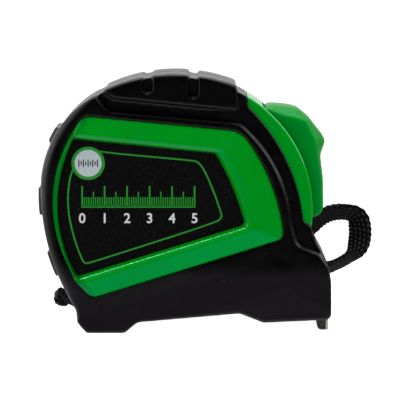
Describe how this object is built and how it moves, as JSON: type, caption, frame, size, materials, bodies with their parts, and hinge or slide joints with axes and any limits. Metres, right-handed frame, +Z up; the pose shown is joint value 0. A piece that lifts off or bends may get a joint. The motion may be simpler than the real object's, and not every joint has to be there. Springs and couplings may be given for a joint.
{
  "type": "tape measure",
  "caption": "Rubber-gripped pocket tape measure with spring-return steel blade, end hook, thumb lock, belt clip and wrist strap.",
  "frame": {"origin": "middle of the outline on the floor under the rear foot and the hook tip, leaving out the wrist strap", "axes": "+X the way the blade leaves the mouth, +Y towards the belt clip, +Z up"},
  "size_m": [0.0867, 0.0444, 0.0674],
  "materials": {
    "case_green": "satin moulded plastic",
    "lock_green": "satin moulded plastic",
    "grip_rubber": "soft matt rubber",
    "label_black": "printed film",
    "inner_plastic": "natural moulded plastic",
    "bright_steel": "zinc plated",
    "clip_steel": "sheet spring steel, brushed",
    "spring_steel": "blued spring steel",
    "hook_nickel": "nickel plated",
    "blade_print": "painted spring steel with printed scale",
    "strap_black": "woven flat braid"
  },
  "bodies": {
    "case": {"case_near": "case_green", "case_far": "case_green", "grip_near": "grip_rubber", "grip_far": "grip_rubber", "label_near": "label_black", "label_far": "label_black", "arbor": "bright_steel", "washer_near": "inner_plastic", "washer_far": "inner_plastic", "mouth_guide": "inner_plastic", "mouth_bumper": "grip_rubber", "belt_clip_root": "clip_steel", "clip_screw": "bright_steel", "case_screw_1": "bright_steel", "case_screw_2": "bright_steel", "case_screw_3": "bright_steel", "case_screw_4": "bright_steel", "strap_knot": "strap_black", "wrist_strap": "strap_black"},
    "drum": {"drum": "inner_plastic", "drum_cover": "inner_plastic", "power_spring": "spring_steel", "tape_coil": "blade_print"},
    "blade": {"tape_blade": "blade_print", "clamp_plate": "bright_steel", "hook_rivet_1": "bright_steel", "hook_rivet_2": "bright_steel", "hook_rivet_3": "bright_steel"},
    "hook": {"end_hook": "hook_nickel"},
    "lock": {"lock_button": "lock_green", "lock_slider": "inner_plastic", "brake_pad": "grip_rubber"},
    "clip": {"belt_clip": "clip_steel"}
  },
  "joints": [
    {"name": "blade_slide", "type": "slide", "parent": "case", "child": "blade", "axis": [1, 0, 0], "range_m": [0, 5], "stiffness_N_per_m": 1, "springref_m": -6},
    {"name": "drum_spin", "type": "hinge", "parent": "case", "child": "drum", "pos_m": [-0.00537, -0.00297, 0.0359], "axis": [0, 1, 0], "continuous": true, "deforming": ["power_spring"]},
    {"name": "hook_slide", "type": "slide", "parent": "blade", "child": "hook", "axis": [1, 0, 0], "range_m": [0, 0.001]},
    {"name": "lock_swing", "type": "hinge", "parent": "case", "child": "lock", "pos_m": [-0.00047, -0.00297, 0.032], "axis": [0, 1, 0], "range_deg": [0, 9]},
    {"name": "clip_flex", "type": "hinge", "parent": "case", "child": "clip", "pos_m": [-0.00387, 0.01733, 0.03778], "axis": [1, 0, 0], "range_deg": [0, 8], "stiffness_Nm_per_rad": 2, "springref_deg": -2.86}
  ],
  "couplings": [
    {"joint": "drum_spin", "follows": "blade_slide", "rad_per_m": -43.478}
  ]
}
